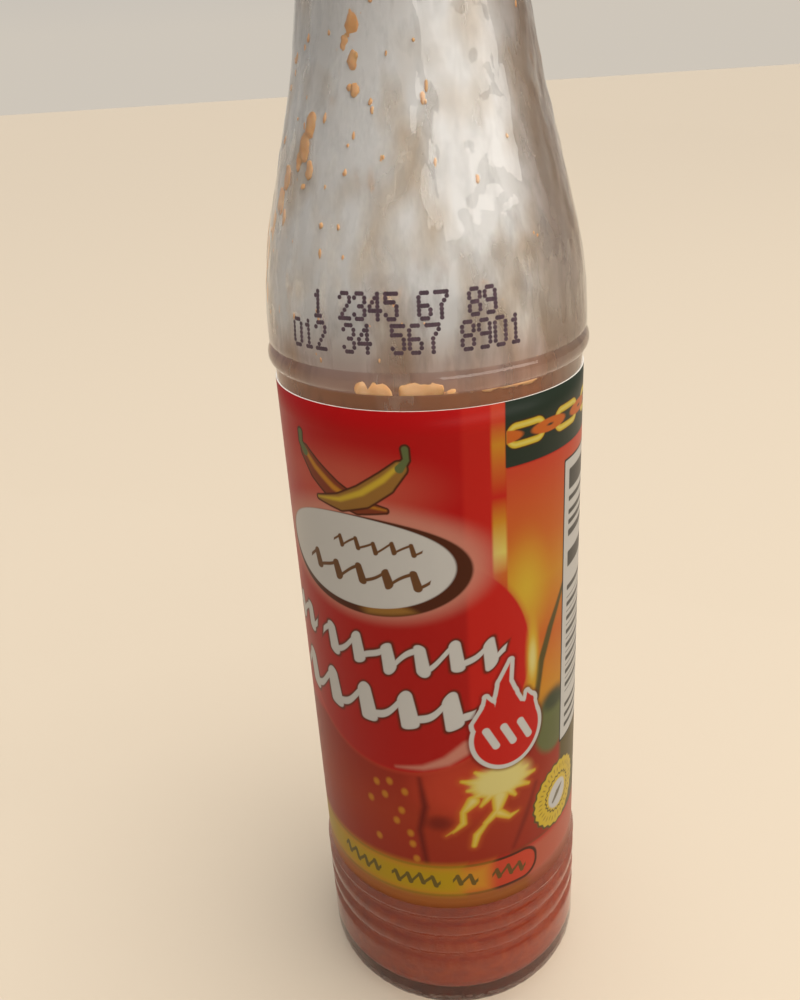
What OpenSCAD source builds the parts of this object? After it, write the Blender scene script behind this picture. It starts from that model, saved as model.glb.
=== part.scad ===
// Small glass bottle of hot sauce: a clear glass bottle with a ribbed heel, a
// recessed label panel, a bead under the shoulder and a long tapered neck,
// part filled with sauce, with a paper wrap label and a screw cap.
// +Z is up and the origin is the centre of the base. Lengths are in millimetres.

/* [Body] */
// Radius of the body at the heel
base_r = 18.5; // [17:0.1:20]
// Radius of the rounded heel
heel_round = 3.3; // [2:0.1:4.5]
// Height of the dome pushed up under the base
push_up = 1.3; // [1:0.1:3]
// Width of the flat ring that the bottle stands on
stand_ring = 2; // [1:0.1:4]
// Radius of the sunken panel that the label is wrapped on
panel_r = 17.95; // [16.5:0.05:18]
// Radius of the bore in the straight part of the body
body_bore_r = 16; // [14:0.1:16.2]
// Height of the inside floor where it meets the round of the wall
floor_h = 2.8; // [2.4:0.1:7]

/* [Ribs] */
// Number of grooves between the ribs of the heel
groove_count = 3; // [1:1:3]
// Height of the lowest groove
groove_h = 11; // [9:0.1:12]
// Distance from one groove to the next
groove_pitch = 3.4; // [2.6:0.1:3.5]
// Depth of a groove
groove_depth = 0.5; // [0.1:0.05:0.6]
// Radius of the round tool that cuts a groove
groove_round = 2; // [1:0.1:3]

/* [Label] */
// Height of the label's lower edge
label_h0 = 20.3; // [20:0.1:24]
// Height of the label's upper edge
label_h1 = 90.5; // [80:0.1:91]
// Thickness of the label paper
label_t = 0.2; // [0.1:0.05:0.3]

/* [Shoulder and neck] */
// Height of the middle of the bead
bead_h = 93.4; // [92.8:0.1:94]
// Radius to the crest of the bead
bead_r = 18.7; // [18.5:0.05:19]
// Radius of the bead's round section
bead_round = 1.5; // [1:0.1:1.8]
// Radius where the shoulder starts
shoulder_r = 18.4; // [18:0.1:18.5]
// Height where the shoulder starts to curve in
shoulder_h = 95; // [94.5:0.1:97]
// Radius of the shoulder's outward curve
shoulder_round = 50; // [30:1:60]
// Lean of the neck's straight taper, in degrees
taper = 15; // [13:0.5:16]
// Radius of the neck under the collar
neck_r = 10.95; // [10.5:0.05:11.5]
// Radius of the neck's inward curve
neck_round = 88; // [60:1:110]
// Thickness of the glass in the shoulder and neck
wall = 2.4; // [1.8:0.1:2.6]

/* [Mouth] */
// Radius of the collar below the cap
collar_r = 12.3; // [11.9:0.1:12.9]
// Radius of the collar's round section
collar_round = 1.3; // [1:0.1:1.5]
// Height of the finish that the cap closes on
finish_h = 13.6; // [12:0.1:15]
// Radius of the round on the rim of the mouth
rim_round = 0.8; // [0.4:0.1:1]

/* [Contents] */
// Height of the sauce's surface above the base
sauce_level = 52; // [20:1:76]

/* [Cap] */
// Outer radius of the cap
cap_r = 13.2; // [13:0.1:14]
// Radius of the inside of the cap
cap_bore_r = 11.9; // [11.8:0.05:12]
// Height of the cap
cap_h = 14.4; // [13:0.1:16]
// Radius of the round on the cap's top edge
cap_round = 1.4; // [0.6:0.1:2]
// Number of grip ribs round the cap
cap_rib_count = 60; // [24:1:72]
// Radius of a grip rib's round section
cap_rib_r = 0.35; // [0.2:0.05:0.4]

/* [Hidden] */
$fn = 96;

panel_step = 0.6;
floor_round = 2.2;
floor_dome = 1;
rib_clear = 1.6;
cap_gap = 0.4;
steps = 10;

shoulder_centre = [shoulder_r - shoulder_round, shoulder_h];
// The straight taper joins the shoulder's curve to the neck's curve, tangent to both.
taper_r0 = shoulder_r - shoulder_round * (1 - cos(taper));
taper_r1 = neck_r + neck_round * (1 - cos(taper));
neck_h = shoulder_h + (shoulder_round + neck_round) * sin(taper)
       + (taper_r0 - taper_r1) / tan(taper);
neck_centre = [neck_r + neck_round, neck_h];
collar_h = neck_h + collar_round;
finish_h0 = collar_h + collar_round;
mouth_h = finish_h0 + finish_h;
mouth_r = neck_r - wall;
cap_h0 = finish_h0 + cap_gap;

// Points of an arc in the half plane that is turned about the Z axis.
function arc(centre, radius, a0, a1) =
    [for (i = [0 : steps]) let (a = a0 + (a1 - a0) * i / steps)
        centre + radius * [cos(a), sin(a)]];

// Points of a shallow dome over the axis, from its top down to its rim.
function dome(rim_r, rim_h, rise) =
    [for (i = [0 : steps - 1]) let (t = i / steps)
        [rim_r * t, rim_h + rise * (1 - t * t)]];

// The shoulder and neck, from the body up, drawn in by inset from the outer face.
function shoulder_line(inset) = concat(
    arc(shoulder_centre, shoulder_round - inset, 0, taper),
    arc(neck_centre, neck_round + inset, 180 + taper, 180));

// The outer face, from the axis under the base to the axis at the mouth.
function outer_line() = concat(
    dome(base_r - heel_round - stand_ring, 0, push_up),
    [[base_r - heel_round - stand_ring, 0]],
    arc([base_r - heel_round, heel_round], heel_round, -90, 0),
    [[base_r, label_h0 - 2 * panel_step],
     [panel_r, label_h0 - panel_step],
     [panel_r, bead_h - bead_round / 2],
     [shoulder_r, bead_h]],
    shoulder_line(0),
    arc([neck_r - rim_round, mouth_h - rim_round], rim_round, 0, 90),
    [[0, mouth_h]]);

// The inside face up to the top of the straight bore.
function floor_line() = concat(
    dome(body_bore_r - floor_round, floor_h, floor_dome),
    arc([body_bore_r - floor_round, floor_h + floor_round], floor_round, -90, 0));

module turned(points) {
    rotate_extrude() polygon(points);
}

module ring(radius, height, section_r) {
    translate([0, 0, height]) rotate_extrude() translate([radius, 0]) circle(section_r);
}

// The free space inside the glass, open through the mouth.
module cavity() {
    turned(concat(
        floor_line(),
        shoulder_line(wall),
        [[mouth_r, mouth_h + 1], [0, mouth_h + 1]]));
}

module bottle() {
    color([0.78, 0.84, 0.80, 0.45])
    difference() {
        union() {
            turned(outer_line());
            ring(bead_r - bead_round, bead_h, bead_round);
            ring(collar_r - collar_round, collar_h, collar_round);
        }
        cavity();
        for (i = [0 : groove_count - 1])
            ring(base_r + groove_round - groove_depth, groove_h + groove_pitch * i,
                 groove_round);
    }
}

module sauce() {
    color([0.62, 0.25, 0.08])
    turned(concat(floor_line(), [[body_bore_r, sauce_level], [0, sauce_level]]));
}

module label() {
    color([0.66, 0.05, 0.04])
    translate([0, 0, label_h0])
    difference() {
        cylinder(h = label_h1 - label_h0, r = panel_r + label_t);
        translate([0, 0, -1]) cylinder(h = label_h1 - label_h0 + 2, r = panel_r);
    }
}

module cap() {
    color([0.60, 0.05, 0.04])
    difference() {
        union() {
            turned(concat(
                [[0, cap_h0], [cap_r, cap_h0]],
                arc([cap_r - cap_round, cap_h0 + cap_h - cap_round], cap_round, 0, 90),
                [[0, cap_h0 + cap_h]]));
            for (i = [0 : cap_rib_count - 1])
                rotate(360 * i / cap_rib_count)
                translate([cap_r, 0, cap_h0 + rib_clear / 2])
                cylinder(h = cap_h - cap_round - rib_clear, r = cap_rib_r, $fn = 24);
        }
        translate([0, 0, cap_h0 - 1]) cylinder(h = mouth_h - cap_h0 + 1, r = cap_bore_r);
    }
}

bottle();
sauce();
label();
cap();
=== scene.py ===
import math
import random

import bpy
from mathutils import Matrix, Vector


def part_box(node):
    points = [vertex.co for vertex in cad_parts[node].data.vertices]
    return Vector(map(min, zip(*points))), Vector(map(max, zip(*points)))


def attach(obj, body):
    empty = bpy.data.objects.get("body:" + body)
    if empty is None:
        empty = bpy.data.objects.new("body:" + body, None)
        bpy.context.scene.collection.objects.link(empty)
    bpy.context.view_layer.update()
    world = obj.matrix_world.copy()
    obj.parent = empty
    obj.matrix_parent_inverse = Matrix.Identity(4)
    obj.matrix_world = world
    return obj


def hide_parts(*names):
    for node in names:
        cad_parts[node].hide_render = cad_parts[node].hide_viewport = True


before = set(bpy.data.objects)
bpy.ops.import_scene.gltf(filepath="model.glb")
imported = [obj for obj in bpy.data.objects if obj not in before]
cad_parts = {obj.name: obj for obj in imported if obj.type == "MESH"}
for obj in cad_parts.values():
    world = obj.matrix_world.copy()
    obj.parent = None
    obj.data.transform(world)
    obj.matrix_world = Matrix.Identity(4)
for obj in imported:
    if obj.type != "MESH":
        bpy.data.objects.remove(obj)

# %% [markdown]
# # A small bottle of hot sauce
# This lesson dresses a CAD model of a hot sauce bottle: clear glass with a rippled neck,
# a red paper label that wraps right round it, what is left of the sauce, and a screw cap.
# The CAD model is already loaded in metres. Its four solids (bottle, sauce, label and cap)
# fix every size, and each one gets a finer stand-in here that takes up the same space.

MM = 0.001
FULL_TURN = 2 * math.pi
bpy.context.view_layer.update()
glass_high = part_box("bottle")[1]
label_low, label_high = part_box("label")
sauce_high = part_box("sauce")[1]
cap_low, cap_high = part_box("cap")

# %% [markdown]
# ## Where the viewer stands
# A bottle this slim is looked at from close by, so its neck leans towards the lens and
# its sides draw together downwards. The camera stands a hand's width in front, level with
# the upper neck, looks down at the label and is rolled a little. Roll, pitch and turn are
# three plain rotations multiplied together, which is easier to read than a quaternion.

# %% Camera
VIEW_PITCH = 65.1
VIEW_ROLL = -3.73
VIEW_TURN = 2.46
VIEW_PLACE = (0, -103.8 * MM, 120.6 * MM)
LENS = 32.26


def turn_matrix(degrees, axis):
    return Matrix.Rotation(math.radians(degrees), 4, axis)


bpy.ops.object.camera_add()
camera = bpy.context.object
camera.name = "camera"
camera.data.lens = LENS
camera.data.clip_start = 1 * MM
camera.matrix_world = (
    Matrix.Translation(VIEW_PLACE)
    @ turn_matrix(VIEW_TURN, "Z")
    @ turn_matrix(VIEW_PITCH, "X")
    @ turn_matrix(VIEW_ROLL, "Z")
)
bpy.context.scene.camera = camera
print("camera looks along", tuple(round(v, 3) for v in -camera.matrix_world.col[2].xyz))

# %% [markdown]
# ## Small helpers
# Blender's operators work on whatever is selected, and the CAD solids arrive selected.
# So every piece starts from an empty selection. Lights are aimed with `to_track_quat`,
# which turns an object's -Z axis towards a point. Materials are built from nodes, and each
# small node function gives back the socket that its nodes end in.

# %% Helpers for selecting, joining and aiming


def deselect_all():
    if bpy.context.mode != "OBJECT":
        bpy.ops.object.mode_set(mode="OBJECT")
    bpy.ops.object.select_all(action="DESELECT")


def take(piece):
    """Makes one object the only selected and the active one."""
    deselect_all()
    piece.select_set(True)
    bpy.context.view_layer.objects.active = piece


def join(pieces, name):
    """Makes one object out of several."""
    deselect_all()
    for piece in pieces:
        piece.select_set(True)
    bpy.context.view_layer.objects.active = pieces[0]
    bpy.ops.object.join()
    whole = bpy.context.object
    whole.name = name
    return whole


def aim(lamp, target):
    lamp.rotation_euler = (Vector(target) - lamp.location).to_track_quat("-Z", "Y").to_euler()


# %% Helpers for materials


def new_material(name):
    material = bpy.data.materials.new(name)
    material.use_nodes = True
    return material, material.node_tree, material.node_tree.nodes["Principled BSDF"]


def set_inputs(shader, **values):
    """Sets the shader's own sockets; Base_Color means 'Base Color'."""
    for name, value in values.items():
        shader.inputs[name.replace("_", " ")].default_value = value


def feed(socket, value):
    """Links another socket to this one, or sets a plain value."""
    if isinstance(value, bpy.types.NodeSocket):
        socket.id_data.links.new(value, socket)
    elif hasattr(value, "__len__") and len(value) == 2:
        socket.default_value = (*value, 0)
    else:
        socket.default_value = value


def math_node(tree, operation, *values):
    node = tree.nodes.new("ShaderNodeMath")
    node.operation = operation
    for socket, value in zip(node.inputs, values):
        feed(socket, value)
    return node.outputs[0]


def range_node(tree, value, low, high, top=1.0):
    """0 at low, top at high and even in between."""
    node = tree.nodes.new("ShaderNodeMapRange")
    feed(node.inputs["Value"], value)
    feed(node.inputs["From Min"], low)
    feed(node.inputs["From Max"], high)
    feed(node.inputs["To Max"], top)
    return node.outputs["Result"]


def colour_over(tree, amount, below, over):
    """One colour laid over another by an amount."""
    node = tree.nodes.new("ShaderNodeMix")
    node.data_type = "RGBA"
    feed(node.inputs["Factor"], amount)
    feed(node.inputs[6], below)
    feed(node.inputs[7], over if isinstance(over, bpy.types.NodeSocket) else (*over, 1))
    return node.outputs[2]


def axes_of(tree, kind):
    """The X, Y and Z sockets of a texture coordinate."""
    place = tree.nodes.new("ShaderNodeTexCoord")
    axes = tree.nodes.new("ShaderNodeSeparateXYZ")
    tree.links.new(place.outputs[kind], axes.inputs[0])
    return axes.outputs


def noise_node(tree, scale, detail=3.0, stretch=(1, 1, 1)):
    """A noise on object coordinates whose scale is in cycles per metre."""
    place = tree.nodes.new("ShaderNodeTexCoord")
    mapping = tree.nodes.new("ShaderNodeMapping")
    mapping.inputs["Scale"].default_value = stretch
    pattern = tree.nodes.new("ShaderNodeTexNoise")
    pattern.inputs["Scale"].default_value = scale
    pattern.inputs["Detail"].default_value = detail
    tree.links.new(place.outputs["Object"], mapping.inputs["Vector"])
    tree.links.new(mapping.outputs["Vector"], pattern.inputs["Vector"])
    return pattern.outputs["Fac"]


def add_bump(tree, shader, height, depth):
    bump = tree.nodes.new("ShaderNodeBump")
    bump.inputs["Distance"].default_value = depth
    tree.links.new(height, bump.inputs["Height"])
    tree.links.new(bump.outputs["Normal"], shader.inputs["Normal"])


def ramp(tree, value, stops):
    """A colour ramp from (position, colour) pairs."""
    node = tree.nodes.new("ShaderNodeValToRGB")
    while len(node.color_ramp.elements) < len(stops):
        node.color_ramp.elements.new(0.5)
    for element, (position, colour) in zip(node.color_ramp.elements, stops):
        element.position = position
        element.color = (*colour, 1)
    tree.links.new(value, node.inputs["Fac"])
    return node.outputs["Color"]


# %% [markdown]
# ## Floor, sky and lights
# The floor is one big pale sheet, so that it runs to the horizon with no wall behind the
# glass. Clear glass is only as good as what it mirrors: a wide soft panel high on the right
# draws the white streak down the neck, and the sky is browner towards the right, which
# keeps that flank from going flat. A wide sun fills the shade and is kept out of
# reflections. The 'Standard' view keeps the label's deep red as saturated as real ink.

# %% Floor and sky
FLOOR_SIZE = 40.0
bpy.context.scene.view_settings.view_transform = "Standard"
deselect_all()
bpy.ops.mesh.primitive_plane_add(size=FLOOR_SIZE)
floor = bpy.context.object
floor.name = "floor"

floor_paint, tree, shader = new_material("floor_paint")
set_inputs(shader, Base_Color=(0.58, 0.495, 0.385, 1), Roughness=0.7)
floor.data.materials.append(floor_paint)

HORIZON, ZENITH, RIGHT_SIDE = (0.62, 0.565, 0.49), (0.40, 0.41, 0.43), (0.24, 0.19, 0.15)
world = bpy.data.worlds.new("sky")
bpy.context.scene.world = world
world.use_nodes = True
sky = world.node_tree
sky_axes = axes_of(sky, "Generated")
sky_fade = ramp(sky, sky_axes["Z"], [(0.06, HORIZON), (0.30, ZENITH)])
sky_side = range_node(sky, sky_axes["X"], 0.55, 0.90)
sky_colour = colour_over(sky, sky_side, sky_fade, RIGHT_SIDE)
sky.links.new(sky_colour, sky.nodes["Background"].inputs["Color"])

# %% Soft lights
WARM_WHITE = (1.0, 0.95, 0.88)
PANEL_WIDE, PANEL_TALL = 1.2, 0.30
SUN_SPREAD = 50


def add_lamp(kind, name, place, target, strength):
    deselect_all()
    bpy.ops.object.light_add(type=kind, location=place)
    lamp = bpy.context.object
    lamp.name = name
    lamp.data.energy = strength
    lamp.data.color = WARM_WHITE
    aim(lamp, target)
    return lamp


key_panel = add_lamp("AREA", "key_panel", (0.55, -0.55, 0.55), (0, 0, 0.10), 3.7)
key_panel.data.shape = "RECTANGLE"
key_panel.data.size = PANEL_WIDE
key_panel.data.size_y = PANEL_TALL
skylight = add_lamp("SUN", "skylight", (0.25, 0.05, 1.2), (0, 0, 0.08), 3.1)
skylight.data.angle = math.radians(SUN_SPREAD)
skylight.visible_glossy = False

# %% [markdown]
# ## The outline of the glass
# A bottle is a turned shape, so all of its form is in one half outline: pushed-up base,
# round heel with three grooves, sunk label panel, bead, long shoulder and neck, and then
# back down the inside. Nearly every curve in it is an arc, so a small `arc` function draws
# most of the outline, and the grooves are cosine waves. Points are spaced closely on the
# shoulder, because its ripples come from moving them.

# %% Sizes of the glass in millimetres
BASE_R, HEEL_ROUND, PUSH_UP, STAND_RING = 18.5, 3.3, 1.3, 2.0
PANEL_R, PANEL_STEP, LABEL_H0, LABEL_H1 = 17.95, 0.6, label_low.z / MM, label_high.z / MM
GROOVE_DEPTH, GROOVE_REACH, GROOVE_HEIGHTS = 0.5, 1.28, (11.0, 14.4, 17.8)
BEAD_H, BEAD_R, BEAD_ROUND = 93.4, 18.7, 1.5
SHOULDER_R, SHOULDER_H, SHOULDER_ROUND = 18.4, 95.0, 50.0
TAPER, NECK_R, NECK_ROUND, WALL = 15.0, 10.95, 88.0, 2.4
COLLAR_R, COLLAR_ROUND, FINISH_H, RIM_ROUND = 12.3, 1.3, 13.6, 0.8
BORE_R, FLOOR_H, FLOOR_ROUND, FLOOR_DOME = 16.0, 2.8, 2.2, 1.0

lean = math.radians(TAPER)
taper_r0 = SHOULDER_R - SHOULDER_ROUND * (1 - math.cos(lean))
taper_r1 = NECK_R + NECK_ROUND * (1 - math.cos(lean))
NECK_H = SHOULDER_H + (SHOULDER_ROUND + NECK_ROUND) * math.sin(lean)
NECK_H += (taper_r0 - taper_r1) / math.tan(lean)
COLLAR_H = NECK_H + COLLAR_ROUND
MOUTH_H = COLLAR_H + COLLAR_ROUND + FINISH_H
print("the mouth is", round(MOUTH_H, 2), "mm up; the CAD says", round(glass_high.z / MM, 2))

# %% Outline helpers


def arc(centre, radius, start, end, count):
    """Points along an arc in the half plane, angles in degrees from the outward axis."""
    points = []
    for step in range(count + 1):
        angle = math.radians(start + (end - start) * step / count)
        points.append((centre[0] + radius * math.cos(angle), centre[1] + radius * math.sin(angle)))
    return points


def line(start, end, count):
    """Points along a straight stretch, without its two ends."""
    return [
        (
            start[0] + (end[0] - start[0]) * step / count,
            start[1] + (end[1] - start[1]) * step / count,
        )
        for step in range(1, count)
    ]


def dome(rim_r, rim_h, rise, count):
    """Points of a shallow dome from the axis down to its rim."""
    return [(rim_r * k / count, rim_h + rise * (1 - (k / count) ** 2)) for k in range(count)]


def shoulder(inset, fine):
    """The shoulder and neck from the body up, drawn in by inset from the outer face."""
    bulge = arc((SHOULDER_R - SHOULDER_ROUND, SHOULDER_H), SHOULDER_ROUND - inset, 0, TAPER,
                round(13 / fine))
    flare = arc((NECK_R + NECK_ROUND, NECK_H), NECK_ROUND + inset, 180 + TAPER, 180,
                round(23 / fine))
    return bulge + line(bulge[-1], flare[0], round(10.6 / fine)) + flare


# %% Outer outline


def grooved_wall():
    """The straight wall of the heel, with its three shallow grooves."""
    points = []
    for height in GROOVE_HEIGHTS:
        for k in range(-6, 7):
            depth = GROOVE_DEPTH * (0.5 + 0.5 * math.cos(math.pi * k / 6))
            points.append((BASE_R - depth, height + GROOVE_REACH * k / 6))
    return points


def outer_outline():
    foot_r = BASE_R - HEEL_ROUND - STAND_RING
    bead_reach = math.degrees(math.asin((SHOULDER_H - BEAD_H) / BEAD_ROUND * 0.7))
    bead_centre = (BEAD_R - BEAD_ROUND, BEAD_H)
    points = dome(foot_r, 0.0, PUSH_UP, 10) + [(foot_r, 0.0), (foot_r + 1.0, 0.0)]
    points += arc((BASE_R - HEEL_ROUND, HEEL_ROUND), HEEL_ROUND, -90, 0, 14)
    points += line((BASE_R, HEEL_ROUND), (BASE_R, GROOVE_HEIGHTS[0] - GROOVE_REACH), 8)
    points += grooved_wall()
    points += [(BASE_R, LABEL_H0 - 2 * PANEL_STEP), (PANEL_R, LABEL_H0 - PANEL_STEP)]
    points += line((PANEL_R, LABEL_H0 - PANEL_STEP), (PANEL_R, BEAD_H - BEAD_ROUND * 0.8), 6)
    points += arc(bead_centre, BEAD_ROUND, -58, bead_reach, 12)
    return points


def finish_outline():
    """The collar under the cap, the mouth and its rim."""
    points = arc((COLLAR_R - COLLAR_ROUND, COLLAR_H), COLLAR_ROUND, -88, 88, 12)
    points += line((NECK_R, COLLAR_H + COLLAR_ROUND), (NECK_R, MOUTH_H - RIM_ROUND), 6)
    points += arc((NECK_R - RIM_ROUND, MOUTH_H - RIM_ROUND), RIM_ROUND, 0, 90, 5)
    points += arc((NECK_R - WALL + RIM_ROUND, MOUTH_H - RIM_ROUND), RIM_ROUND, 90, 180, 5)
    return points


def inner_outline():
    """The inside face, from the mouth down to the axis."""
    bore = list(reversed(shoulder(WALL, 1.4)))
    points = line((NECK_R - WALL, MOUTH_H - RIM_ROUND), bore[0], 5) + bore
    points += line(bore[-1], (BORE_R, FLOOR_H + FLOOR_ROUND), 16)
    points += arc((BORE_R - FLOOR_ROUND, FLOOR_H + FLOOR_ROUND), FLOOR_ROUND, 0, -90, 10)
    points += list(reversed(dome(BORE_R - FLOOR_ROUND, FLOOR_H, FLOOR_DOME, 8)))
    return points


glass_outline = outer_outline() + shoulder(0.0, 0.42) + finish_outline() + inner_outline()
print("the outline of the glass has", len(glass_outline), "points")

# %% [markdown]
# ## Turning an outline
# The outline is drawn the way it would be by hand: one vertex, extruded from point to
# point, and then `spin` sweeps it round the Z axis. The two ends of the sweep and the
# points on the axis fall on each other, so they are merged, and the normals are
# recalculated, because spin can leave a shape inside out.

# %% Draw and spin an outline


def draw_outline(name, points):
    """One vertex, extruded from point to point in the XZ plane."""
    deselect_all()
    bpy.ops.mesh.primitive_plane_add(size=MM, location=(0, 0, 0))
    piece = bpy.context.object
    piece.name = name
    bpy.ops.object.mode_set(mode="EDIT")
    bpy.ops.mesh.merge(type="CENTER")
    bpy.ops.transform.translate(value=(points[0][0] * MM, 0, points[0][1] * MM))
    previous = points[0]
    for point in points[1:]:
        step = ((point[0] - previous[0]) * MM, 0, (point[1] - previous[1]) * MM)
        bpy.ops.mesh.extrude_region_move(TRANSFORM_OT_translate={"value": step})
        previous = point
    bpy.ops.object.mode_set(mode="OBJECT")
    return piece


def spin_shape(piece, segments, angle=FULL_TURN):
    take(piece)
    bpy.ops.object.mode_set(mode="EDIT")
    bpy.ops.mesh.select_all(action="SELECT")
    bpy.ops.mesh.spin(steps=segments, angle=angle, center=(0, 0, 0), axis=(0, 0, 1))
    bpy.ops.mesh.select_all(action="SELECT")
    bpy.ops.mesh.remove_doubles(threshold=0.004 * MM)
    bpy.ops.mesh.normals_make_consistent(inside=False)
    bpy.ops.object.mode_set(mode="OBJECT")
    bpy.ops.object.shade_smooth_by_angle(angle=math.radians(50))


def settle(piece):
    """Leaves a finished piece's place in its mesh, with the object at the origin."""
    take(piece)
    bpy.ops.object.transform_apply(location=True, rotation=True, scale=True)
    bpy.ops.object.origin_set(type="ORIGIN_CURSOR")


def hand_over(piece, node):
    """Parents a finished piece to the root body and hides the CAD solid it stands for."""
    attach(piece, "root")
    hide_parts(node)


glass = draw_outline("glass", glass_outline)
spin_shape(glass, 320)
print("glass:", len(glass.data.polygons), "faces")

# %% [markdown]
# ## Ripples in the glass
# The neck was blown into a mould that was colder than the glass, and it froze in waves
# that run mostly up and down. A bump map would not bend what is seen through the wall, so
# the waves are real: a Displace modifier moves the close rows of points in and out. The
# noise is stretched upwards by an empty that it takes its coordinates from, and a vertex
# group fades it out at the bead and the collar.

# %% Ripple helpers


def fade(value, low, high):
    """0 below low, 1 above high and smooth between them."""
    t = min(max((value - low) / (high - low), 0), 1)
    return t * t * (3 - 2 * t)


def weigh(piece, name, weight_of):
    """A vertex group whose weights come from a function of radius and height in mm."""
    group = piece.vertex_groups.new(name=name)
    for vertex in piece.data.vertices:
        radius = vertex.co.xy.length / MM
        weight = weight_of(radius, vertex.co.z / MM)
        if weight > 0:
            group.add([vertex.index], weight, "REPLACE")
    return group.name


def displace(piece, group, kind, grain, stretch, depth):
    """Moves a piece's points along their normals by a noise, sizes in mm."""
    pattern = bpy.data.textures.new(f"{group}_pattern", kind)
    pattern.noise_scale = grain
    if kind == "CLOUDS":
        pattern.noise_depth = 2
    deselect_all()
    bpy.ops.object.empty_add()
    ruler = bpy.context.object
    ruler.scale = (MM, MM, MM * stretch)
    take(piece)
    modifier = piece.modifiers.new("ripples", "DISPLACE")
    modifier.texture = pattern
    modifier.texture_coords = "OBJECT"
    modifier.texture_coords_object = ruler
    modifier.vertex_group = group
    modifier.mid_level = 0.5
    modifier.strength = depth * MM
    bpy.context.view_layer.update()
    bpy.ops.object.modifier_apply(modifier=modifier.name)
    bpy.data.objects.remove(ruler)


def outer_radius(height):
    """The smooth outer face of the shoulder and neck, in mm."""
    bulge_top = SHOULDER_H + SHOULDER_ROUND * math.sin(lean)
    flare_foot = NECK_H - NECK_ROUND * math.sin(lean)
    if height < SHOULDER_H:
        return SHOULDER_R
    if height < bulge_top:
        rise = height - SHOULDER_H
        return SHOULDER_R - SHOULDER_ROUND + math.sqrt(SHOULDER_ROUND ** 2 - rise ** 2)
    if height < flare_foot:
        return taper_r0 - (height - bulge_top) * math.tan(lean)
    return NECK_R + NECK_ROUND - math.sqrt(NECK_ROUND ** 2 - (NECK_H - height) ** 2)


# %% Ripples on the shoulder, softer ones inside, and the dotted heel


def on_outer_neck(radius, height):
    if not SHOULDER_H < height < NECK_H or radius < outer_radius(height) - WALL / 2:
        return 0
    return fade(height, SHOULDER_H, SHOULDER_H + 5) * (1 - fade(height, NECK_H - 4, NECK_H))


def on_inner_neck(radius, height):
    if not BEAD_H - 8 < height < NECK_H or radius > outer_radius(height) - WALL / 2:
        return 0
    return fade(height, BEAD_H - 8, BEAD_H) * (1 - fade(height, NECK_H - 4, NECK_H))


def on_heel(radius, height):
    if height > 7 or radius < BASE_R - HEEL_ROUND:
        return 0
    return fade(height, 0.6, 1.4) * (1 - fade(height, 3.6, 4.6))


displace(glass, weigh(glass, "broad_ripples", on_outer_neck), "CLOUDS", 3.4, 2.6, 0.34)
displace(glass, weigh(glass, "fine_ripples", on_outer_neck), "CLOUDS", 1.5, 1.8, 0.13)
displace(glass, weigh(glass, "inner_ripples", on_inner_neck), "CLOUDS", 4.5, 2.2, 0.5)
displace(glass, weigh(glass, "heel_dots", on_heel), "VORONOI", 0.9, 1.0, 0.12)

# %% [markdown]
# ## Clear glass
# A Principled shader with full transmission is glass. Its index of refraction and its
# faint colour are set straight on the shader. What nodes add is a very fine bump, because
# even the smooth parts of moulded glass are never optically flat. The glass is set to
# throw no shadow, so that light reaches what is inside it.

# %% Glass material
bottle_glass, tree, shader = new_material("bottle_glass")
set_inputs(shader, Transmission_Weight=1.0, Roughness=0.02, IOR=1.5,
           Base_Color=(0.992, 1.0, 0.99, 1))
add_bump(tree, shader, noise_node(tree, 700, 4.0, (1, 1, 0.6)), 0.02 * MM)
glass.data.materials.append(bottle_glass)
settle(glass)
hand_over(glass, "bottle")
glass.visible_shadow = False

# %% [markdown]
# ## What the sauce left behind
# A bottle that has been poured from is never clean inside. A thin pale film dries on the
# inner wall of the neck, and thicker orange smears stay where the sauce ran. The film is
# made from the glass itself: its inner faces are duplicated, split off and moved a hair
# into the wall, so that it follows every ripple and no gap of air mirrors it away. Its
# opacity comes from noise stretched upwards. Sauce stains it round the bead, and a dull
# brown painted shade darkens its right flank.

# %% Film on the inner wall
FILM = 0.03
FILM_DEPTH = 0.07
FILM_H0 = BEAD_H - 7
STAIN_TOP, STAIN_FOOT = BEAD_H + 5, BEAD_H - 2
STAIN, STAIN_THICKER = (0.21, 0.062, 0.015), 0.35
# The film's right flank gets a painted shade: a dull brown laid on by a mask that leans with
# height.
PAINTED_FLANK_SHADE, FLANK_STRENGTH = (0.155, 0.105, 0.075), 0.85
FLANK_FROM, FLANK_FULL = 5.8, 9.5
FLANK_LEAN, FLANK_SHIFT = 0.15, 18.6

take(glass)
bpy.ops.object.mode_set(mode="EDIT")
bpy.ops.mesh.select_all(action="DESELECT")
bpy.ops.object.mode_set(mode="OBJECT")
for face in glass.data.polygons:
    height = face.center.z / MM
    inside = face.center.xy.length / MM < outer_radius(height) - WALL / 2
    face.select = inside and FILM_H0 < height < NECK_H
bpy.ops.object.mode_set(mode="EDIT")
bpy.ops.mesh.duplicate()
bpy.ops.mesh.separate(type="SELECTED")
bpy.ops.object.mode_set(mode="OBJECT")
film = [piece for piece in bpy.context.selected_objects if piece != glass][0]
film.name = "film"
take(film)
film.data.materials.clear()
film.vertex_groups.clear()
bpy.ops.object.mode_set(mode="EDIT")
bpy.ops.mesh.select_all(action="SELECT")
bpy.ops.transform.shrink_fatten(value=-FILM_DEPTH * MM)
bpy.ops.object.mode_set(mode="OBJECT")
skin = film.modifiers.new("film", "SOLIDIFY")
skin.thickness = FILM * MM
skin.offset = 1
bpy.ops.object.modifier_apply(modifier=skin.name)

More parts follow.
